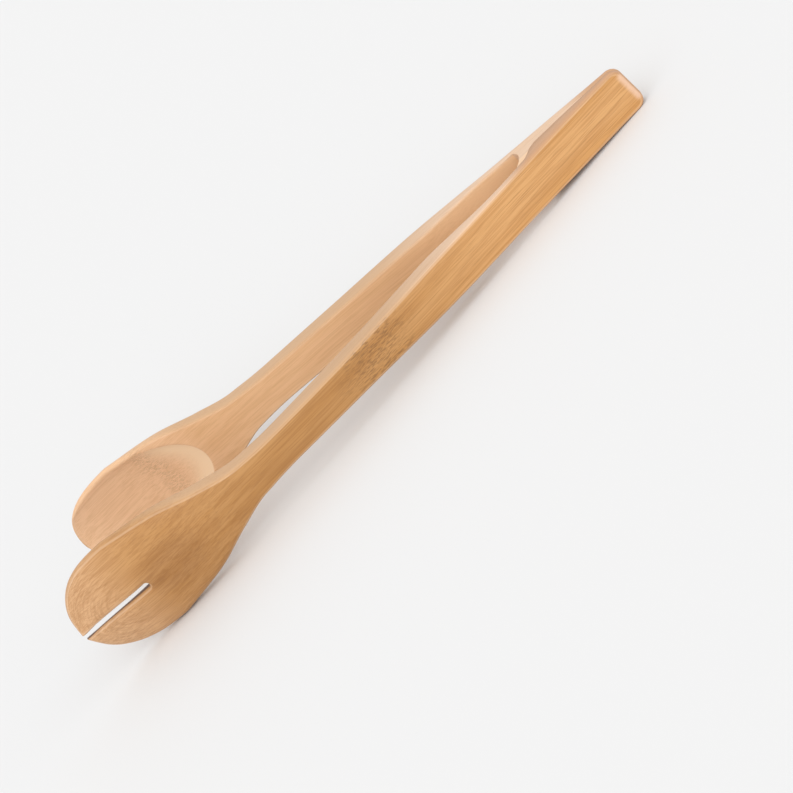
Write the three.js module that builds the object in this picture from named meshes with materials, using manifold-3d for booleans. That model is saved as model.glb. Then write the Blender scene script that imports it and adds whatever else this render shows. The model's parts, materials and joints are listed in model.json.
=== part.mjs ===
// Bamboo kitchen tongs: two spoon-headed arms glued together at the tail, with a wedge block that
// spreads them. Each arm is thinned just ahead of the wedge, and that thin leaf is the spring.
//
// Lengths are in millimetres. The tongs are first laid out flat and level, with the tail at u = 0:
//   u runs from the tail to the head tips, y across the opening, z across the width of the arms.
// The whole is then tilted a little, so that it lies on its side on z = 0, as it does on a table.

import * as THREE from 'three';
import { mergeVertices } from 'three/addons/utils/BufferGeometryUtils.js';
import Module from 'manifold-3d';

const wasm = await Module();
wasm.setup();

// ---- driving dimensions ----
const LENGTH = 300;
const HEAD_HALF_WIDTH = 23.6;
const NECK_HALF_WIDTH = 7.7;
const GRIP_HALF_WIDTH = 9;
const TAIL_HALF_WIDTH = 9.1;
const TAIL_HALF_THICKNESS = 2;
const TAIL_SPREAD = 0.148;
const HEAD_EDGE_OFFSET = 28.8;
const HEAD_BLUNTNESS = 2.9;
const GRIP_THICKNESS = 9;
const LEAF_THICKNESS = 3.4;
const RIM_THICKNESS = 3.2;
const BELLY = 6.2;
const BOWL_DEPTH = 5.8;
const BOWL_START = 229;
const BOWL_CENTRE = 268;
const BOWL_HALF_WIDTH = 21.5;
const HEAD_WIDEST = 264;
const SLOT_WIDTH = 2.1;
const SLOT_START = 262;
const FOOT_END = 39;
const LEAF_START = 46;
const WEDGE_START = 19;
const WEDGE_CONTACT = 14;
const WEDGE_END = 50;
const FLEX = 58;
const FLEX_GAP = 0.5;
const GLUE_GAP = 0.3;
const CORNER_RADIUS = 4;
const BOWL_ROUNDING = 0.75;
const WEDGE_HOLLOW = 5;
const WEDGE_TRIM = 0.5;
const TIP_TRIM = 0.05;
const LEAST_HALF_WIDTH = 0.6;
const CUT_OVERSHOOT = 5;
const CUT_DEPTH = 60;
const MERGE_DISTANCE = 1e-4;
const ACROSS = 10;

const REST_TILT = Math.atan2(HEAD_HALF_WIDTH - TAIL_HALF_WIDTH, HEAD_WIDEST - CORNER_RADIUS);

// ---- profiles along the arm ----

// A smooth curve y(u) through a few [u, y] pairs, without overshoot between them.
function profile(pairs) {
  const slope = (i) => (pairs[i + 1][1] - pairs[i][1]) / (pairs[i + 1][0] - pairs[i][0]);
  const tangent = pairs.map((pair, i) => {
    if (i === 0) return slope(0);
    if (i === pairs.length - 1) return slope(i - 1);
    const before = slope(i - 1);
    const after = slope(i);
    return before * after <= 0 ? 0 : (2 * before * after) / (before + after);
  });
  return (u) => {
    let i = 0;
    while (i < pairs.length - 2 && u > pairs[i + 1][0]) i += 1;
    const span = pairs[i + 1][0] - pairs[i][0];
    const t = Math.min(Math.max((u - pairs[i][0]) / span, 0), 1);
    const h00 = (1 + 2 * t) * (1 - t) ** 2;
    const h10 = t * (1 - t) ** 2;
    const h01 = t * t * (3 - 2 * t);
    const h11 = t * t * (t - 1);
    return h00 * pairs[i][1] + h10 * span * tangent[i] + h01 * pairs[i + 1][1] + h11 * span * tangent[i + 1];
  };
}

// Offset of the arm's outer edge from the middle plane. The tail stretch is straight and flat.
const openOffset = profile([
  [FLEX, TAIL_HALF_THICKNESS + TAIL_SPREAD * FLEX],
  [80, 14.5],
  [110, 19.2],
  [150, 24],
  [184, 27.2],
  [205, 28.6],
  [235, 29.6],
  [262, HEAD_EDGE_OFFSET],
  [285, HEAD_EDGE_OFFSET - 1.2],
  [LENGTH, HEAD_EDGE_OFFSET],
]);
const edgeOffset = (u) => (u < FLEX ? TAIL_HALF_THICKNESS + TAIL_SPREAD * u : openOffset(u));

// Thickness of the arm at its side edges.
const edgeThickness = profile([
  [FLEX, LEAF_THICKNESS],
  [66, LEAF_THICKNESS + 0.6],
  [82, 6.6],
  [100, GRIP_THICKNESS],
  [150, GRIP_THICKNESS - 0.2],
  [205, 7.6],
  [240, 6],
  [262, 4.2],
  [282, RIM_THICKNESS],
  [LENGTH, 2.4],
]);

const bellyHeight = profile([
  [FLEX, 0],
  [110, 0.5],
  [190, 0.7],
  [215, 1.6],
  [240, 4.4],
  [HEAD_WIDEST, BELLY],
  [284, BELLY - 1.4],
  [LENGTH, 2],
]);

const shaftHalfWidth = profile([
  [0, TAIL_HALF_WIDTH],
  [27, TAIL_HALF_WIDTH + 0.1],
  [60, GRIP_HALF_WIDTH],
  [88, GRIP_HALF_WIDTH],
  [150, 7.9],
  [184, NECK_HALF_WIDTH],
  [203, 8.7],
  [220, 12.9],
  [240, 19.3],
  [HEAD_WIDEST, HEAD_HALF_WIDTH],
]);

// Half width of the arm: round corners at the tail, the shaft, then a round-ended spoon head.
function halfWidth(u) {
  if (u < CORNER_RADIUS) {
    const inset = CORNER_RADIUS - Math.sqrt(CORNER_RADIUS ** 2 - (CORNER_RADIUS - u) ** 2);
    return shaftHalfWidth(u) - inset;
  }
  if (u <= HEAD_WIDEST) return shaftHalfWidth(u);
  const t = Math.min((u - HEAD_WIDEST) / (LENGTH - HEAD_WIDEST), 1);
  return HEAD_HALF_WIDTH * (1 - t ** HEAD_BLUNTNESS) ** 0.5;
}

// Depth of the spoon bowl at a place on the inner face.
function bowlDepth(u, z) {
  const r2 = ((u - BOWL_CENTRE) / (BOWL_CENTRE - BOWL_START)) ** 2 + (z / BOWL_HALF_WIDTH) ** 2;
  return r2 < 1 ? BOWL_DEPTH * (1 - r2) ** BOWL_ROUNDING : 0;
}

const outerFace = (u, z, half) => edgeOffset(u) + bellyHeight(u) * (1 - (z / half) ** 2);
const innerFace = (u, z) => edgeOffset(u) - edgeThickness(u) + bowlDepth(u, z);

// ---- solids ----

// Places from one u to another, closer together towards the last one when soft is true.
function stations(from, to, count, soft = false) {
  return Array.from({ length: count + 1 }, (unused, i) => {
    const t = i / count;
    return from + (to - from) * (soft ? Math.sin((t * Math.PI) / 2) : t);
  });
}

// One closed loop round the arm at u, seen from the tail.
function section(u, outer, inner) {
  const half = Math.max(halfWidth(u), LEAST_HALF_WIDTH);
  const places = Array.from({ length: ACROSS + 1 }, (unused, i) => -half * Math.cos((i / ACROSS) * Math.PI));
  const outside = places.map((z) => new THREE.Vector3(-u, outer(u, z, half), z));
  const inside = places.map((z) => new THREE.Vector3(-u, inner(u, z, half), z)).reverse();
  return outside.concat(inside);
}

// A closed body through loops that all have the same number of points.
function loft(loops) {
  const count = loops[0].length;
  const positions = loops.flat().flatMap((p) => [p.x, p.y, p.z]);
  const index = [];
  for (let k = 0; k + 1 < loops.length; k += 1) {
    for (let i = 0; i < count; i += 1) {
      const a = k * count + i;
      const b = k * count + ((i + 1) % count);
      index.push(a, a + count, b, b, a + count, b + count);
    }
  }
  // An end loop has as many points on its outer side as on its inner side: a ladder of facets closes it.
  const rungs = count / 2;
  const last = (loops.length - 1) * count;
  for (let i = 0; i + 1 < rungs; i += 1) {
    const j = count - 1 - i;
    index.push(i, i + 1, j, i + 1, j - 1, j);
    index.push(last + i, last + j, last + i + 1, last + i + 1, last + j, last + j - 1);
  }
  const geometry = new THREE.BufferGeometry();
  geometry.setAttribute('position', new THREE.Float32BufferAttribute(positions, 3));
  geometry.setIndex(index);
  return geometry;
}

function toSolid(geometry) {
  const bare = geometry.clone();
  bare.deleteAttribute('normal');
  bare.deleteAttribute('uv');
  const merged = mergeVertices(bare, MERGE_DISTANCE);
  const vertProperties = new Float32Array(merged.attributes.position.array);
  const triVerts = new Uint32Array(merged.index.array);
  return new wasm.Manifold(new wasm.Mesh({ numProp: 3, vertProperties, triVerts }));
}

function toGeometry(solid) {
  const mesh = solid.getMesh();
  const geometry = new THREE.BufferGeometry();
  geometry.setAttribute('position', new THREE.BufferAttribute(new Float32Array(mesh.vertProperties), 3));
  geometry.setIndex(new THREE.BufferAttribute(new Uint32Array(mesh.triVerts), 1));
  return geometry;
}

// The same piece on the other side of the middle plane, facing out again.
function mirrored(geometry) {
  const copy = geometry.clone();
  copy.scale(1, -1, 1);
  const index = copy.index.array;
  for (let i = 0; i < index.length; i += 3) {
    [index[i + 1], index[i + 2]] = [index[i + 2], index[i + 1]];
  }
  return copy;
}

// The moving stretch of an arm: spring leaf, grip, neck and spoon head.
function armGeometry() {
  const places = [
    ...stations(FLEX + FLEX_GAP / 2, 110, 8),
    ...stations(124, 196, 5),
    ...stations(204, 262, 10),
    ...stations(267, LENGTH - TIP_TRIM, 14, true),
  ];
  return loft(places.map((u) => section(u, outerFace, innerFace)));
}

// The slot that splits the slotted arm's tip: round at its closed end, open at the tip.
function slotGeometry() {
  const radius = SLOT_WIDTH / 2;
  const outline = new THREE.Shape();
  outline.moveTo(-LENGTH - CUT_OVERSHOOT, -radius);
  outline.lineTo(-SLOT_START - radius, -radius);
  outline.absarc(-SLOT_START - radius, 0, radius, -Math.PI / 2, Math.PI / 2, false);
  outline.lineTo(-LENGTH - CUT_OVERSHOOT, radius);
  outline.closePath();
  const geometry = new THREE.ExtrudeGeometry(outline, { depth: CUT_DEPTH, bevelEnabled: false, curveSegments: 4 });
  geometry.rotateX(Math.PI / 2);
  return geometry;
}

// Inner faces of the two feet, as offsets from the middle plane. The slotted arm's foot is solid up to
// a rounded step; the plain arm's foot tapers all the way, and the wedge fills the room between them.
const leafInner = (u) => edgeOffset(u) - LEAF_THICKNESS;
const slottedFootInner = profile([
  [0, GLUE_GAP / 2],
  [FOOT_END, GLUE_GAP / 2],
  [FOOT_END + 3, 1.3],
  [LEAF_START - 1.5, leafInner(LEAF_START - 1.5) - 0.7],
  [LEAF_START, leafInner(LEAF_START)],
  [FLEX, leafInner(FLEX)],
]);
const plainFootInner = profile([
  [0, GLUE_GAP / 2],
  [WEDGE_CONTACT, GLUE_GAP / 2],
  [WEDGE_CONTACT + 4, 0.7],
  [WEDGE_END - 4, leafInner(WEDGE_END - 4) - 0.4],
  [WEDGE_END, leafInner(WEDGE_END)],
  [FLEX, leafInner(FLEX)],
]);

// The glued stretch of an arm: its foot, then the root of the leaf.
function tailGeometry(footInner) {
  const places = [
    ...stations(0, CORNER_RADIUS, 4),
    ...stations(WEDGE_CONTACT, FOOT_END, 4),
    ...stations(FOOT_END + 1, WEDGE_END, 9),
    ...stations(WEDGE_END + 2, FLEX - FLEX_GAP / 2, 2),
  ];
  return loft(places.map((u) => section(u, outerFace, footInner)));
}

// The wedge block between the feet. It swells into the bridge behind the leaves, and its hollowed
// front end closes the leaf-shaped space between the arms.
function wedgeGeometry() {
  const tip = WEDGE_END - WEDGE_TRIM;
  const places = stations(WEDGE_START, FOOT_END, 4).concat(stations(FOOT_END + 1, tip, 7));
  const slottedSide = places.map((u) => new THREE.Vector2(-u, GLUE_GAP - slottedFootInner(u)));
  const plainSide = places.map((u) => new THREE.Vector2(-u, plainFootInner(u) - GLUE_GAP));
  const outline = new THREE.Shape(slottedSide);
  const end = plainSide.at(-1);
  outline.quadraticCurveTo(-WEDGE_END + WEDGE_HOLLOW, 0, end.x, end.y);
  plainSide.reverse().forEach((point) => outline.lineTo(point.x, point.y));
  const depth = 4 * GRIP_HALF_WIDTH;
  const blade = new THREE.ExtrudeGeometry(outline, { depth, bevelEnabled: false, curveSegments: 6 });
  blade.translate(0, 0, -depth / 2);
  // Its sides are flush with the sides of the arms.
  const edge = stations(WEDGE_START - 2, WEDGE_END + 2, 4).map((u) => new THREE.Vector2(-u, halfWidth(u)));
  const flat = new THREE.Shape(edge.concat(edge.map((p) => new THREE.Vector2(p.x, -p.y)).reverse()));
  const plan = new THREE.ExtrudeGeometry(flat, { depth, bevelEnabled: false });
  plan.rotateX(Math.PI / 2);
  plan.translate(0, depth / 2, 0);
  return toGeometry(toSolid(blade).intersect(toSolid(plan)));
}

// ---- assembly ----

const bamboo = (color) => new THREE.MeshStandardMaterial({ color, roughness: 0.5, metalness: 0 });

function piece(name, geometry, color) {
  const mesh = new THREE.Mesh(geometry, bamboo(color));
  mesh.name = name;
  return mesh;
}

const plainArm = armGeometry();
const slottedArm = toGeometry(toSolid(mirrored(plainArm)).subtract(toSolid(slotGeometry())));

const tongs = new THREE.Group();
tongs.add(piece('slotted_arm', slottedArm, 0xc98f52));
tongs.add(piece('slotted_arm_tail', mirrored(tailGeometry(slottedFootInner)), 0xc98f52));
tongs.add(piece('plain_arm', plainArm, 0xd6a06a));
tongs.add(piece('plain_arm_tail', tailGeometry(plainFootInner), 0xd6a06a));
tongs.add(piece('wedge_block', wedgeGeometry(), 0xe0b892));

// Laid on its side on the edges of both heads and of the tail, with the middle of its box at x = 0.
tongs.rotation.y = REST_TILT;
const box = new THREE.Box3().setFromObject(tongs, true);
tongs.position.set(-(box.min.x + box.max.x) / 2, 0, -box.min.z);

const group = new THREE.Group();
group.add(tongs);

export default group;
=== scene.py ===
"""Bamboo kitchen tongs: the fine surfaces, materials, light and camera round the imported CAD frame."""
import json
import math

import bmesh
import bpy
import numpy as np
from mathutils import Matrix, Vector


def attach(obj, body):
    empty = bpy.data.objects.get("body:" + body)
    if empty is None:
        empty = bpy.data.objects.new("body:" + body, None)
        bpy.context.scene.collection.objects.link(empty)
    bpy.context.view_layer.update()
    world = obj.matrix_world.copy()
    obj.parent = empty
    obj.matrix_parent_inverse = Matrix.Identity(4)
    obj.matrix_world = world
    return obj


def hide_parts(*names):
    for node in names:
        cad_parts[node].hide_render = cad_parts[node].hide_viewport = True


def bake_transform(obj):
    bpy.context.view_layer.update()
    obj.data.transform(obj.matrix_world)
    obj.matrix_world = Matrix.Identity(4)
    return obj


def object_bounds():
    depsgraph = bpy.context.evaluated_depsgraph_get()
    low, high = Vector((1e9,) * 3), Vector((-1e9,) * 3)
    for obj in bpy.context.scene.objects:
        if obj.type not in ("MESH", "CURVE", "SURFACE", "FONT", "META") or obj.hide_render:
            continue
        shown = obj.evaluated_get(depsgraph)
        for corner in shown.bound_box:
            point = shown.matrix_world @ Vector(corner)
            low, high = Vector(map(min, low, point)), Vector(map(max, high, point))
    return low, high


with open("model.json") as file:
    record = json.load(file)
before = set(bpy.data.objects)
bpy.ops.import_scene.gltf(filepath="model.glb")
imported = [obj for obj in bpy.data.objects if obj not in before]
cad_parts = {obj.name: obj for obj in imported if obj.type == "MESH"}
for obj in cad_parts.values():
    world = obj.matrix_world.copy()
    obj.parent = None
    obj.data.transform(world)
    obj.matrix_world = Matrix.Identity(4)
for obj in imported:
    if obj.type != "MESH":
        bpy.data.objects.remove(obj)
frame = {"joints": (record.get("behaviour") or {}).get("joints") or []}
CAD_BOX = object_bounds()

MM = 0.001

# ---- driving dimensions, in millimetres, as the CAD model has them ----
# u runs from the tail to the head tips, y across the opening, z across the width of an arm.
LENGTH = 300
HEAD_HALF_WIDTH = 23.6
HEAD_WIDEST = 264
HEAD_BLUNTNESS = 2.9
NECK_HALF_WIDTH = 7.7
GRIP_HALF_WIDTH = 9
TAIL_HALF_WIDTH = 9.1
TAIL_HALF_THICKNESS = 2
TAIL_SPREAD = 0.148
HEAD_EDGE_OFFSET = 28.8
GRIP_THICKNESS = 9
LEAF_THICKNESS = 3.4
RIM_THICKNESS = 3.2
BELLY = 6.2
BOWL_DEPTH = 5.8
BOWL_START = 229
BOWL_CENTRE = 268
BOWL_HALF_WIDTH = 21.5
SLOT_WIDTH = 2.1
SLOT_START = 262
FOOT_END = 39
LEAF_START = 46
WEDGE_CONTACT = 14
WEDGE_END = 50
FLEX = 58
CORNER_RADIUS = 4
BOWL_ROUNDING = 0.75
WEDGE_TRIM = 0.5
WEDGE_HOLLOW = 5

# ---- the fine surfaces ----
# SKIN is how far they lie inside the CAD faces. A glue line is SEAM wide, and a skin more on each side.
SKIN = 0.02
SEAM = 0.06
END_ROUNDING = 2.6
END_DROP = 1.5
LEAST_THICKNESS = 0.05
EDGE_BAND = 2.2
MERGE_DISTANCE = 0.004
LEAST_EDGE = 0.002
SHARP_ANGLE = 35
LOOKUP_BATCH = 4000


def profile(pairs):
    """A smooth curve through a few (u, value) pairs, without overshoot between them."""
    us = np.array([p[0] for p in pairs], float)
    vs = np.array([p[1] for p in pairs], float)
    slope = np.diff(vs) / np.diff(us)
    tangent = np.empty(len(us))
    tangent[0], tangent[-1] = slope[0], slope[-1]
    before, after = slope[:-1], slope[1:]
    turns = before * after <= 0
    total = np.where(turns, 1, before + after)
    tangent[1:-1] = np.where(turns, 0, 2 * before * after / total)

    def value(u):
        u = np.asarray(u, float)
        i = np.clip(np.searchsorted(us, u, side="left") - 1, 0, len(us) - 2)
        span = us[i + 1] - us[i]
        t = np.clip((u - us[i]) / span, 0, 1)
        return ((1 + 2 * t) * (1 - t) ** 2 * vs[i] + t * (1 - t) ** 2 * span * tangent[i]
                + t * t * (3 - 2 * t) * vs[i + 1] + t * t * (t - 1) * span * tangent[i + 1])

    return value


open_offset = profile([
    (FLEX, TAIL_HALF_THICKNESS + TAIL_SPREAD * FLEX), (80, 14.5), (110, 19.2), (150, 24),
    (184, 27.2), (205, 28.6), (235, 29.6), (262, HEAD_EDGE_OFFSET), (285, HEAD_EDGE_OFFSET - 1.2),
    (LENGTH, HEAD_EDGE_OFFSET)])
edge_thickness = profile([
    (FLEX, LEAF_THICKNESS), (66, LEAF_THICKNESS + 0.6), (82, 6.6), (100, GRIP_THICKNESS),
    (150, GRIP_THICKNESS - 0.2), (205, 7.6), (240, 6), (262, 4.2), (282, RIM_THICKNESS), (LENGTH, 2.4)])
belly_height = profile([
    (FLEX, 0), (110, 0.5), (190, 0.7), (215, 1.6), (240, 4.4), (HEAD_WIDEST, BELLY), (284, BELLY - 1.4),
    (LENGTH, 2)])
shaft_half_width = profile([
    (0, TAIL_HALF_WIDTH), (27, TAIL_HALF_WIDTH + 0.1), (60, GRIP_HALF_WIDTH), (88, GRIP_HALF_WIDTH),
    (150, 7.9), (184, NECK_HALF_WIDTH), (203, 8.7), (220, 12.9), (240, 19.3),
    (HEAD_WIDEST, HEAD_HALF_WIDTH)])


def tail_offset(u):
    return TAIL_HALF_THICKNESS + TAIL_SPREAD * u


def leaf_inner(u):
    return tail_offset(u) - LEAF_THICKNESS


slotted_foot_inner = profile([
    (0, SEAM / 2), (FOOT_END, SEAM / 2), (FOOT_END + 3, 1.3),
    (LEAF_START - 1.5, leaf_inner(LEAF_START - 1.5) - 0.7), (LEAF_START, leaf_inner(LEAF_START)),
    (FLEX, leaf_inner(FLEX))])
plain_foot_inner = profile([
    (0, SEAM / 2), (WEDGE_CONTACT, SEAM / 2), (WEDGE_CONTACT + 4, 0.7),
    (WEDGE_END - 4, leaf_inner(WEDGE_END - 4) - 0.4), (WEDGE_END, leaf_inner(WEDGE_END)),
    (FLEX, leaf_inner(FLEX))])


def edge_offset(u):
    return np.where(u < FLEX, tail_offset(u), open_offset(u))


def half_width(u):
    u = np.asarray(u, float)
    corner = np.clip(CORNER_RADIUS - u, 0, CORNER_RADIUS)
    tail = shaft_half_width(u) - CORNER_RADIUS + np.sqrt(CORNER_RADIUS ** 2 - corner ** 2)
    t = np.clip((u - HEAD_WIDEST) / (LENGTH - HEAD_WIDEST), 0, 1)
    head = HEAD_HALF_WIDTH * np.sqrt(1 - t ** HEAD_BLUNTNESS)
    return np.where(u <= HEAD_WIDEST, tail, head)


def bowl_depth(u, z):
    r2 = ((u - BOWL_CENTRE) / (BOWL_CENTRE - BOWL_START)) ** 2 + (z / BOWL_HALF_WIDTH) ** 2
    return BOWL_DEPTH * np.clip(1 - r2, 0, 1) ** BOWL_ROUNDING


def outer_face(u, z, half):
    return edge_offset(u) + belly_height(u) * (1 - (z / half) ** 2)


def inner_face(u, z, foot_inner):
    arm = edge_offset(u) - edge_thickness(u) + bowl_depth(u, z)
    return np.where(u < FLEX, foot_inner(u), arm)


# ---- the tongs' own axes in the row frame, from the two hinges ----
JOINTS = {j["name"]: j for j in frame["joints"]}
ACROSS = Vector((0, 1, 0))
WIDTHWAYS = Vector(JOINTS["plain_arm_flex"]["axis"]).normalized()
TAILWARDS = ACROSS.cross(WIDTHWAYS)
HINGES = [Vector(JOINTS[name]["pos_m"]) for name in ("slotted_arm_flex", "plain_arm_flex")]
MIDDLE = (HINGES[0] + HINGES[1]) / 2


def to_row(u, y, z):
    """Points in the row frame, in metres, from arrays of u, y and z in millimetres."""
    u, y, z = (np.asarray(a, float)[..., None] * MM for a in (u, y, z))
    lengthways = np.array(MIDDLE) + np.array(TAILWARDS) * (FLEX * MM - u)
    return lengthways + np.array(ACROSS) * y + np.array(WIDTHWAYS) * z


def row_point(u, y, z):
    return Vector(to_row(u, y, z).tolist())


# ---- mesh work ----

def outline_points():
    """The arm's edge seen flat: the tail end, then the side edge to the head tip."""
    end = np.linspace(0, half_width(0.0), 30)
    u = np.concatenate([np.linspace(0, CORNER_RADIUS, 60), np.linspace(4.2, HEAD_WIDEST, 700),
                        HEAD_WIDEST + (LENGTH - HEAD_WIDEST) * np.sin(np.linspace(0, math.pi / 2, 500))])
    return np.concatenate([np.stack([0 * end, end], -1), np.stack([u, half_width(u)], -1)])


def gap_to_line(points, starts, ends):
    """Distance from each point to its own straight line piece."""
    line = ends - starts
    length = np.maximum((line ** 2).sum(-1), 1e-9)
    t = np.clip(((points - starts) * line).sum(-1) / length, 0, 1)
    return np.linalg.norm(points - starts - t[:, None] * line, axis=-1)


def distance_to_outline(u, z, outline):
    points = np.stack([u.ravel(), np.abs(z).ravel()], -1)
    distance = np.empty(len(points))
    last = len(outline) - 1
    for start in range(0, len(points), LOOKUP_BATCH):
        part = points[start:start + LOOKUP_BATCH]
        nearest = ((part[:, None] - outline[None]) ** 2).sum(-1).argmin(1)
        before, here, after = (outline[np.clip(nearest + k, 0, last)] for k in (-1, 0, 1))
        gap = np.minimum(gap_to_line(part, before, here), gap_to_line(part, here, after))
        distance[start:start + LOOKUP_BATCH] = gap
    return distance.reshape(u.shape)


def distance_to_slot(u, z):
    radius = SLOT_WIDTH / 2
    ahead = np.clip(SLOT_START + radius - u, 0, None)
    return np.hypot(ahead, z) - radius


def round_over(distance, radius):
    """How far a rounded edge falls away from a flat face at a distance from the edge."""
    d = np.clip(distance, 0, radius)
    return radius - np.sqrt(np.clip(radius ** 2 - (radius - d) ** 2, 0, None))


def stations(slotted):
    """Places along an arm, close together at the tail end, the bowl's start, the slot and the tip."""
    tail = np.concatenate([CORNER_RADIUS * (1 - np.cos(np.linspace(0, math.pi / 2, 14))),
                           np.linspace(5, FOOT_END, 24), np.linspace(FOOT_END + 0.5, 60, 34)])
    shaft = np.concatenate([np.linspace(61.5, 200, 90), np.linspace(201.2, BOWL_START - 3, 22),
                            np.linspace(BOWL_START - 2.5, BOWL_START + 8, 36),
                            np.linspace(BOWL_START + 9, HEAD_WIDEST, 34)])
    head = HEAD_WIDEST + (LENGTH - HEAD_WIDEST) * np.sin(np.linspace(0, math.pi / 2, 90)[1:])
    all_u = np.concatenate([tail, shaft, head])
    if slotted:
        radius = SLOT_WIDTH / 2
        closed_end = SLOT_START + radius * (1 - np.cos(np.linspace(0, math.pi / 2, 12)))
        around = np.concatenate([SLOT_START - np.array([1.6, 1.0, 0.6, 0.3, 0.12]), closed_end])
        keep = (all_u < around[0] - 0.2) | (all_u > around[-1] + 0.2)
        all_u = np.sort(np.concatenate([all_u[keep], around]))
        reach = (1 - (radius / HEAD_HALF_WIDTH) ** 2) ** (1 / HEAD_BLUNTNESS)
        prong_end = HEAD_WIDEST + (LENGTH - HEAD_WIDEST) * reach
        prong_end -= SKIN
        all_u = np.append(all_u[all_u < prong_end - 0.01], prong_end)
    return all_u


def columns(inner, outer, radius):
    """Places across a half arm, close together near both edges, for each station."""
    near = np.array([0, 0.03, 0.12, 0.27, 0.48, 0.74, 1.0])
    middle = np.linspace(0, 1, 18)[1:-1]
    span = (outer - inner)[:, None]
    edge = np.minimum(radius[:, None], span * 0.4)
    left = inner[:, None] + edge * near
    right = outer[:, None] - edge * near[::-1]
    core = left[:, -1:] + (right[:, :1] - left[:, -1:]) * middle
    return np.concatenate([left, core, right], 1)


def arm_mesh(name, side, slotted):
    """One continuous arm, tail foot to head tip, with every edge rounded. side is -1 or 1 in y."""
    u = stations(slotted)
    outline = outline_points()
    half = half_width(np.where(u > HEAD_WIDEST, u + SKIN, u)) - SKIN
    slot_edge = np.zeros_like(u)
    if slotted:
        radius = SLOT_WIDTH / 2
        ahead = np.clip(SLOT_START + radius - u, 0, radius)
        slot_edge = np.sqrt(np.clip(radius ** 2 - ahead ** 2, 0, None))
    half = np.maximum(half, slot_edge)
    across = columns(slot_edge, half, np.full_like(u, 1.8))
    uu = np.repeat(u[:, None], across.shape[1], 1)
    foot_inner = slotted_foot_inner if slotted else plain_foot_inner
    thick = edge_offset(uu) - inner_face(uu, half[:, None], foot_inner)
    to_edge = distance_to_outline(uu, across, outline)
    if slotted:
        to_edge = np.minimum(to_edge, distance_to_slot(uu, across))
    to_edge = np.clip(to_edge - SKIN, 0, None)
    wide = np.maximum(half_width(uu), 0.5)
    spoon = np.clip((uu - 200) / 40, 0, 1)
    top_radius = np.clip(thick * (0.28 + 0.40 * spoon), 0.5, 1.1 + 1.8 * spoon)
    glued = np.clip((FLEX - uu) / (FLEX - WEDGE_END), 0, 1)
    low_radius = np.clip(thick * 0.28, 0.4, 0.9) * (1 - 0.9 * glued)
    end_fall = round_over(uu, END_ROUNDING) * (END_DROP / END_ROUNDING)
    fall = np.maximum(round_over(to_edge, top_radius), end_fall)
    top = outer_face(uu, across, wide) - fall - SKIN
    low = inner_face(uu, across, foot_inner) + round_over(to_edge, low_radius) + SKIN
    crossed = low > top - LEAST_THICKNESS
    middle = (top + low) / 2
    top = np.where(crossed, middle + LEAST_THICKNESS / 2, top)
    low = np.where(crossed, middle - LEAST_THICKNESS / 2, low)

    rows, cols = across.shape
    vertices, grain, edge = [], [], []
    index = {}

    def lay(label, y, mirror):
        z = across * mirror
        index[label, mirror] = sum(len(v) for v in vertices)
        vertices.append(to_row(uu, side * y, z).reshape(-1, 3))
        grain.append(np.stack([uu, y - edge_offset(uu), z], -1).reshape(-1, 3))
        edge.append(np.clip(1 - to_edge / EDGE_BAND, 0, 1).ravel())

    for mirror in (-1, 1):
        lay("top", top, mirror)
        lay("low", low, mirror)
    faces = []

    def cell(label, mirror, i, j):
        return index[label, mirror] + i * cols + j

    for mirror in (-1, 1):
        for i in range(rows - 1):
            for j in range(cols - 1):
                for label in ("top", "low"):
                    corners = [(i, j), (i + 1, j), (i + 1, j + 1), (i, j + 1)]
                    faces.append([cell(label, mirror, *c) for c in corners])
            outer_wall = [("top", i, cols - 1), ("top", i + 1, cols - 1),
                          ("low", i + 1, cols - 1), ("low", i, cols - 1)]
            faces.append([cell(label, mirror, a, b) for label, a, b in outer_wall])
            if slot_edge[i + 1] > 0:
                slot_wall = [("top", i, 0), ("top", i + 1, 0), ("low", i + 1, 0), ("low", i, 0)]
                faces.append([cell(label, mirror, a, b) for label, a, b in slot_wall])
        for i in (0, rows - 1):
            for j in range(cols - 1):
                end_wall = [("top", i, j), ("top", i, j + 1), ("low", i, j + 1), ("low", i, j)]
                faces.append([cell(label, mirror, a, b) for label, a, b in end_wall])

    mesh = bpy.data.meshes.new(name)
    mesh.from_pydata(np.concatenate(vertices).tolist(), [], faces)
    store(mesh, "grain", np.concatenate(grain))
    store(mesh, "edge", np.concatenate(edge))
    clean(mesh)
    return mesh


def store(mesh, name, values):
    """A named value, or vector, on each vertex, for the materials."""
    if values.ndim == 2:
        attribute = mesh.attributes.new(name, "FLOAT_VECTOR", "POINT")
        attribute.data.foreach_set("vector", values.astype(np.float32).ravel())
    else:
        attribute = mesh.attributes.new(name, "FLOAT", "POINT")
        attribute.data.foreach_set("value", values.astype(np.float32))


def clean(mesh):
    """Joins the seams, drops faces without area, turns all faces out and shades them smooth."""
    work = bmesh.new()
    work.from_mesh(mesh)
    bmesh.ops.remove_doubles(work, verts=work.verts, dist=MERGE_DISTANCE * MM)
    bmesh.ops.dissolve_degenerate(work, edges=work.edges, dist=LEAST_EDGE * MM)
    bmesh.ops.recalc_face_normals(work, faces=work.faces)
    for face in work.faces:
        face.smooth = True
    work.to_mesh(mesh)
    work.free()


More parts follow.
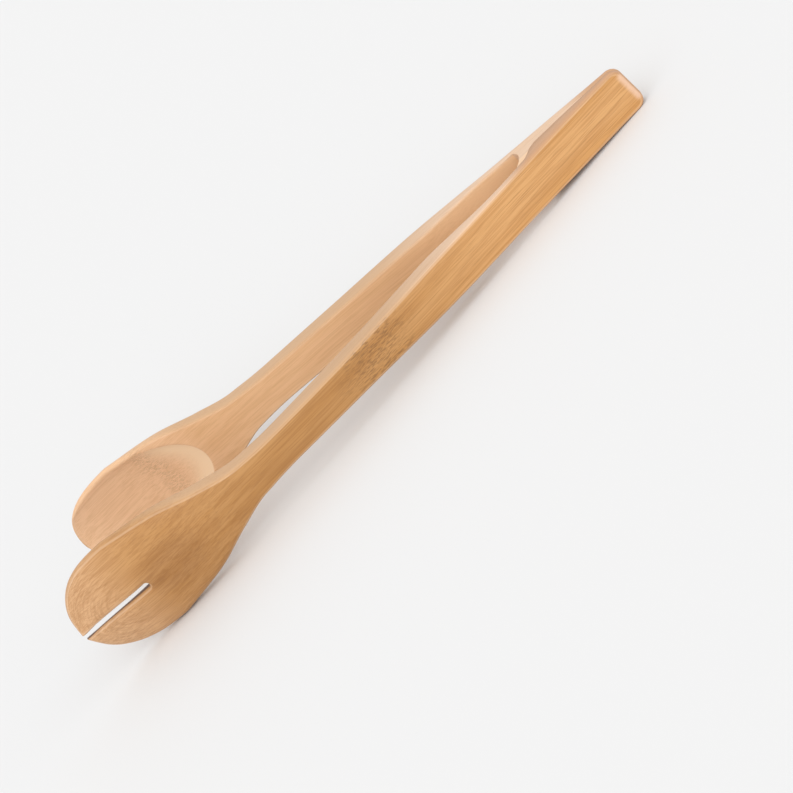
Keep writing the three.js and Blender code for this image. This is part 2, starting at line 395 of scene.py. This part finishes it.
def wedge_mesh(name):
    """The wedge block: a blade that swells into the bridge, with a hollowed front end."""
    inset = SEAM + SKIN
    side = np.concatenate([np.linspace(WEDGE_CONTACT + 1.5, FOOT_END, 26),
                           np.linspace(FOOT_END + 0.3, WEDGE_END - WEDGE_TRIM, 44)])
    plain_side = plain_foot_inner(side) - inset
    slotted_side = inset - slotted_foot_inner(side)
    t = np.linspace(0, 1, 24)[1:-1]
    hollow_u = (1 - t) ** 2 * side[-1] + 2 * t * (1 - t) * (WEDGE_END - WEDGE_HOLLOW) + t ** 2 * side[-1]
    hollow_y = (1 - t) ** 2 * plain_side[-1] + t ** 2 * slotted_side[-1]
    loop_u = np.concatenate([side, hollow_u, side[::-1]])
    loop_y = np.concatenate([plain_side, hollow_y, slotted_side[::-1]])
    width = half_width(loop_u) - SKIN
    count = len(loop_u)
    points = np.concatenate([to_row(loop_u, loop_y, width), to_row(loop_u, loop_y, -width)])
    grain = np.concatenate([np.stack([loop_u, loop_y, width], -1), np.stack([loop_u, loop_y, -width], -1)])
    faces = [[i, (i + 1) % count, count + (i + 1) % count, count + i] for i in range(count)]
    faces.append(list(range(count)))
    faces.append(list(range(count, 2 * count))[::-1])
    mesh = bpy.data.meshes.new(name)
    mesh.from_pydata(points.tolist(), [], faces)
    store(mesh, "grain", grain)
    store(mesh, "edge", np.zeros(2 * count))
    clean(mesh)
    mesh.set_sharp_from_angle(angle=math.radians(SHARP_ANGLE))
    return mesh


def add_piece(name, mesh, material):
    piece = bpy.data.objects.new(name, mesh)
    bpy.context.scene.collection.objects.link(piece)
    mesh.materials.append(material)
    return piece


# ---- bamboo ----

class Nodes:
    """Short calls for building a material's node tree."""

    def __init__(self, material):
        material.use_nodes = True
        self.tree = material.node_tree
        self.tree.nodes.clear()

    def add(self, kind, inputs=None, **settings):
        node = self.tree.nodes.new(kind)
        for key, value in settings.items():
            setattr(node, key, value)
        for key, value in (inputs or {}).items():
            if isinstance(value, bpy.types.NodeSocket):
                self.tree.links.new(value, node.inputs[key])
            else:
                node.inputs[key].default_value = value
        return node

    def maths(self, operation, a, b=0.0, clamp=False):
        node = self.add("ShaderNodeMath", {0: a, 1: b}, operation=operation, use_clamp=clamp)
        return node.outputs[0]

    def scaled(self, vector, scale, offset=(0, 0, 0)):
        node = self.add("ShaderNodeMapping", {"Vector": vector, "Scale": scale, "Location": offset})
        return node.outputs["Vector"]

    def noise(self, vector, detail=3.0, rough=0.55, warp=0.0):
        node = self.add("ShaderNodeTexNoise", {
            "Vector": vector, "Scale": 1.0, "Detail": detail, "Roughness": rough, "Distortion": warp})
        return node.outputs["Fac"]

    def ramp(self, value, low, high, smooth=True):
        kind = "SMOOTHSTEP" if smooth else "LINEAR"
        node = self.add("ShaderNodeMapRange", {"Value": value, "From Min": low, "From Max": high},
                        interpolation_type=kind)
        return node.outputs["Result"]

    def mix(self, factor, a, b, blend="MIX"):
        node = self.add("ShaderNodeMix", data_type="RGBA", blend_type=blend)
        for socket, value in ((node.inputs[0], factor), (node.inputs[6], a), (node.inputs[7], b)):
            if isinstance(value, bpy.types.NodeSocket):
                self.tree.links.new(value, socket)
            else:
                socket.default_value = value if not isinstance(value, tuple) else (*value, 1.0)
        return node.outputs[2]


def shade(colour, factor):
    return tuple(c * factor for c in colour)


def node_bands(n, grain, along, bands, shift):
    """Strength of the short dark dashes where the culm had its nodes."""
    total = 0.0
    for place, width, strength in bands:
        wander = n.noise(n.scaled(grain, (0.02, 0.16, 0.16), shift), detail=1.0)
        centre = n.maths("ADD", place - width * 0.5, n.maths("MULTIPLY", wander, width))
        gap = n.maths("ABSOLUTE", n.maths("SUBTRACT", along, centre))
        bell = n.maths("MULTIPLY", n.maths("SUBTRACT", 1.0, n.ramp(gap, width * 0.2, width)), strength)
        total = n.maths("MAXIMUM", total, bell)
    dashes = n.noise(n.scaled(grain, (0.34, 2.6, 2.6), shift), detail=1.5)
    return n.maths("MULTIPLY", n.ramp(dashes, 0.49, 0.58), total)


def bamboo(name, light, mid, dark, walls, root, bands, shift, contrast, tip, tip_from, tone=None, bowl=None):
    """Oiled bamboo, with fibres along u.

    walls are the colours of the cut side faces in the tail and beyond it, paler than the faces partly by
    their own colour and partly as painted sheen, and darker near the tail end as painted shade. root is the
    stretch of u where one turns into the other. bands are the (u, width, strength) of the culm's nodes, shift
    moves the pattern, and contrast is the strength of its fibres. tone darkens the middle of an arm, tip
    colours its head over the stretch tip_from, partly as painted light, and bowl pales the slope at the start
    of its hollow as a painted highlight.
    """
    material = bpy.data.materials.new(name)
    n = Nodes(material)
    grain = n.add("ShaderNodeAttribute", attribute_name="grain").outputs["Vector"]
    edge = n.add("ShaderNodeAttribute", attribute_name="edge").outputs["Fac"]
    along, depth, across = n.add("ShaderNodeSeparateXYZ", {0: grain}).outputs
    aside = n.maths("ABSOLUTE", across)

    wide = n.noise(n.scaled(grain, (0.008, 0.22, 0.22), shift), detail=1.0)
    strips = n.noise(n.scaled(grain, (0.018, 0.75, 0.75), shift), detail=2.0)
    fibres = n.noise(n.scaled(grain, (0.045, 2.0, 2.0), shift), detail=2.0)
    threads = n.noise(n.scaled(grain, (0.085, 3.4, 3.4), shift), detail=1.0)

    base = n.mix(n.ramp(wide, 0.36, 0.64), light, mid)
    if tone:
        paler_tip = n.maths("MULTIPLY", n.ramp(along, 262, 292), 0.8)
        middle = n.maths("SUBTRACT", n.ramp(along, 55, 152), paler_tip)
        base = n.mix(middle, base, tone, "MULTIPLY")
    # the head paler towards its tip, partly its own colour and partly painted light
    base = n.mix(n.maths("MULTIPLY", n.ramp(along, *tip_from), 0.85), base, tip)
    darker = n.mix(1.0, base, FIBRE_SHADE, "MULTIPLY")
    base = n.mix(n.maths("MULTIPLY", n.ramp(strips, 0.42, 0.66), 0.45 * contrast), base, darker)
    base = n.mix(n.maths("MULTIPLY", n.ramp(fibres, 0.46, 0.64), 0.62 * contrast), base, darker)
    base = n.mix(n.maths("MULTIPLY", n.ramp(threads, 0.58, 0.70), 0.42 * contrast), base, dark)

    # painted highlight: the bowl's slope at the start of its hollow paler, where it faces the light
    if bowl:
        sideways = n.maths("POWER", n.maths("DIVIDE", across, BOWL_HALF_WIDTH), 2.0)
        ahead = n.maths("DIVIDE", n.maths("SUBTRACT", along, BOWL_CENTRE), BOWL_CENTRE - BOWL_START)
        reach = n.maths("ADD", sideways, n.maths("POWER", ahead, 2.0))
        slope = n.maths("MULTIPLY", n.ramp(reach, 0.30, 0.85), n.ramp(reach, 1.0, 0.97))
        slope = n.maths("MULTIPLY", slope, n.ramp(along, 254, 238))
        slope = n.maths("MULTIPLY", slope, n.ramp(depth, 0.3, -0.5))
        base = n.mix(n.maths("MULTIPLY", slope, 0.95), base, bowl)
    if tone:
        # painted shade: the middle of the golden head darker, where the convex head turns from the light
        head_middle = n.maths("ADD", n.maths("POWER", n.maths("DIVIDE", n.maths("SUBTRACT", along, 247), 17), 2.0),
                        n.maths("POWER", n.maths("DIVIDE", across, 11), 2.0))
        base = n.mix(n.ramp(head_middle, 1.4, 0.2), base, HEAD_MIDDLE_SHADE, "MULTIPLY")
        layers = n.noise(n.scaled(grain, (0.12, 5.0, 0.12), shift), detail=1.0)
        rings = n.maths("MULTIPLY", n.ramp(layers, 0.48, 0.62), n.ramp(along, 262, 284))
        base = n.mix(n.maths("MULTIPLY", rings, 0.30), base, dark)

    planed = n.maths("MULTIPLY", n.ramp(along, 125, 62), n.ramp(depth, -2.0, -2.8))
    base = n.mix(n.maths("MULTIPLY", planed, 0.7), base, PLANED)
    marks = n.maths("MULTIPLY", node_bands(n, grain, along, bands, shift), 0.62) if bands else 0.0
    base = n.mix(marks, base, shade(dark, 0.62))

    # painted light and shade: the side walls paler than the faces, partly their own colour and partly painted
    # sheen, and darker near the tail end as painted shade
    wall = n.mix(n.ramp(along, *root), *walls)
    wall = n.mix(n.ramp(along, 70, 130), wall, CUT_SHAFT)
    wall = n.mix(n.maths("MULTIPLY", n.ramp(fibres, 0.45, 0.70), 0.30), wall, shade(walls[0], 0.85))
    wall_here = n.maths("MULTIPLY", n.ramp(edge, 0.62, 0.90),
                        n.maths("SUBTRACT", 0.95, n.maths("MULTIPLY", n.ramp(along, 222, 258), 0.70)))
    base = n.mix(wall_here, base, wall)
    # painted highlight: a pale line along the rounded edges, where the roundings catch the light
    edge_highlight = n.maths("MULTIPLY", n.ramp(edge, 0.38, 0.56), n.ramp(edge, 0.80, 0.62))
    base = n.mix(n.maths("MULTIPLY", edge_highlight, 0.28), base, EDGE_HIGHLIGHT)
    end_face = n.maths("MULTIPLY", n.ramp(along, 0.7, 0.1), 0.8)
    base = n.mix(end_face, base, END_GRAIN_AND_SIDE_SHADE)
    # painted highlight: a pale strip on the rounding at the tail end of the outer face, where it catches the
    # light
    end_highlight = n.maths("MULTIPLY", n.ramp(along, 0.1, 0.6), n.ramp(along, 3.0, 1.3))
    end_highlight = n.maths("MULTIPLY", end_highlight, n.ramp(aside, 7.0, 5.0))
    end_highlight = n.maths("MULTIPLY", end_highlight, n.ramp(depth, -2.0, -1.4))
    base = n.mix(n.maths("MULTIPLY", end_highlight, 0.7), base, END_HIGHLIGHT)
    if tone:
        # painted shade: the walls inside the slot darkened, as the shade in the narrow cut
        beside = n.ramp(aside, SLOT_WIDTH / 2 + 0.30, SLOT_WIDTH / 2 + 0.05)
        cut = n.maths("MULTIPLY", beside, n.ramp(edge, 0.8, 0.95))
        base = n.mix(n.maths("MULTIPLY", cut, n.ramp(along, 200, 240)), base, SLOT_WALL_SHADE)

    relief = n.maths("ADD", n.maths("MULTIPLY", fibres, 0.6), n.maths("MULTIPLY", threads, 0.4))
    bump = n.add("ShaderNodeBump", {"Height": relief, "Strength": 0.30, "Distance": 0.00006})
    rough = n.maths("ADD", 0.38, n.maths("MULTIPLY", fibres, 0.18))
    shader = n.add("ShaderNodeBsdfPrincipled", {
        "Base Color": base, "Roughness": rough, "Normal": bump.outputs["Normal"], "Specular IOR Level": 0.40,
        "Coat Weight": 0.10, "Coat Roughness": 0.25})
    n.add("ShaderNodeOutputMaterial", {"Surface": shader.outputs["BSDF"]})
    return material


# ---- the tongs ----

# the darker colour is the end grain and also painted shade on the tail's side faces; the paler one is the
# side faces' own colour with painted sheen
END_GRAIN_AND_SIDE_SHADE = (0.52, 0.29, 0.155)
PALE_CUT_AND_SHEEN = (0.67, 0.47, 0.325)
CUT_SHAFT = (0.55, 0.34, 0.185)
PLANED = (0.80, 0.53, 0.31)
# painted highlight along the rounded edges
EDGE_HIGHLIGHT = (0.80, 0.58, 0.40)
# painted highlight on the tail end's rounding
END_HIGHLIGHT = (0.78, 0.52, 0.37)
# painted shade inside the slot
SLOT_WALL_SHADE = (0.16, 0.08, 0.045)
FIBRE_SHADE = (0.76, 0.68, 0.57)
# painted shade in the middle of the golden head
HEAD_MIDDLE_SHADE = (0.84, 0.80, 0.76)
GOLDEN = bamboo("bamboo_golden", light=(0.65, 0.35, 0.135), mid=(0.59, 0.30, 0.100), dark=(0.32, 0.15, 0.048),
                walls=(END_GRAIN_AND_SIDE_SHADE, PALE_CUT_AND_SHEEN), root=(44, 60), bands=[(132, 24, 1.0)], shift=(3.1, 7.7, 1.9),
                contrast=1.0, tone=(0.75, 0.71, 0.61), tip=(0.61, 0.36, 0.19), tip_from=(252, 292))
PALE = bamboo("bamboo_pale", light=(0.76, 0.47, 0.255), mid=(0.73, 0.44, 0.23), dark=(0.52, 0.30, 0.14),
              walls=(END_GRAIN_AND_SIDE_SHADE, PALE_CUT_AND_SHEEN), root=(9, 26), bands=[(250, 7, 0.5)], shift=(13.4, 2.2, 8.6),
              contrast=0.55, tip=(0.82, 0.52, 0.31), tip_from=(222, 236), bowl=(0.88, 0.64, 0.41))
WEDGE = bamboo("bamboo_wedge", light=(0.74, 0.53, 0.37), mid=(0.71, 0.50, 0.345), dark=(0.56, 0.36, 0.22),
               walls=(PALE_CUT_AND_SHEEN, PALE_CUT_AND_SHEEN), root=(9, 26), bands=[], shift=(5.7, 11.3, 4.4),
               contrast=0.5, tip=(0.71, 0.50, 0.345), tip_from=(60, 70))


def make_arm(name, side, slotted, material, body):
    piece = add_piece(name, arm_mesh(name, side, slotted), material)
    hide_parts(body.replace("_body", ""), body.replace("_body", "_tail"))
    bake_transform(piece)
    return piece


make_arm("slotted_arm_fine", -1, True, GOLDEN, "slotted_arm_body")
make_arm("plain_arm_fine", 1, False, PALE, "plain_arm_body")
wedge = add_piece("wedge_block_fine", wedge_mesh("wedge_block_fine"), WEDGE)
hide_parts("wedge_block")
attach(wedge, "tail")


# ---- stage, light and camera ----

def make_floor():
    half = 6.0
    mesh = bpy.data.meshes.new("floor")
    corners = [(-half, -half, 0), (half, -half, 0), (half, half, 0), (-half, half, 0)]
    mesh.from_pydata(corners, [], [(0, 1, 2, 3)])
    material = bpy.data.materials.new("floor_paper")
    n = Nodes(material)
    shader = n.add("ShaderNodeBsdfPrincipled", {
        "Base Color": (0.725, 0.725, 0.725, 1), "Roughness": 0.95, "Specular IOR Level": 0.0})
    n.add("ShaderNodeOutputMaterial", {"Surface": shader.outputs["BSDF"]})
    mesh.materials.append(material)
    floor = bpy.data.objects.new("floor", mesh)
    floor.location.z = CAD_BOX[0][2]
    bpy.context.scene.collection.objects.link(floor)


def aim(thing, target):
    thing.rotation_euler = (Vector(target) - thing.location).to_track_quat("-Z", "Y").to_euler()


def soft_light(name, direction, strength, spread):
    """Even light from a wide softbox, far off in a direction."""
    light = bpy.data.lights.new(name, "SUN")
    light.energy = strength
    light.angle = math.radians(spread)
    lamp = bpy.data.objects.new(name, light)
    lamp.location = direction
    bpy.context.scene.collection.objects.link(lamp)
    aim(lamp, (0, 0, 0))


def make_light():
    world = bpy.data.worlds.new("studio")
    world.use_nodes = True
    background = world.node_tree.nodes["Background"]
    background.inputs["Color"].default_value = (1, 1, 1, 1)
    background.inputs["Strength"].default_value = 0.82
    bpy.context.scene.world = world
    soft_light("front", (1.0, -2.6, 1.3), 0.95, 60)
    soft_light("key", (-1.5, -2.7, 4.8), 0.75, 70)
    soft_light("top", (0.6, 1.5, 5.4), 0.20, 70)
    soft_light("tail", (2.6, -0.8, 1.2), 0.33, 30)


def make_camera():
    """A camera on the tail's side and a little above, rolled so that the tongs lie across the frame."""
    azimuth, elevation, roll = (math.radians(a) for a in (19.94, 25.16, -51.29))
    distance, focal_per_width = 720.9, 1843.1 / 793
    target = (149.67, 0, -29.47)
    back = Vector((math.sin(azimuth) * math.cos(elevation), -math.cos(azimuth) * math.cos(elevation),
                   math.sin(elevation)))
    level = Vector((math.cos(azimuth), math.sin(azimuth), 0))
    upward = back.cross(level)
    right = level * math.cos(roll) + upward * math.sin(roll)
    up = -level * math.sin(roll) + upward * math.cos(roll)
    axes = Matrix((TAILWARDS, ACROSS, WIDTHWAYS)).transposed()
    data = bpy.data.cameras.new("camera")
    data.sensor_width = 36
    data.lens = focal_per_width * data.sensor_width
    camera = bpy.data.objects.new("camera", data)
    turn = Matrix((axes @ right, axes @ up, axes @ back)).transposed()
    place = row_point(*target) + axes @ back * distance * MM
    camera.matrix_world = Matrix.Translation(place) @ turn.to_4x4()
    bpy.context.scene.collection.objects.link(camera)
    bpy.context.scene.camera = camera


make_floor()
make_light()
make_camera()
bpy.context.scene.view_settings.view_transform = "Standard"
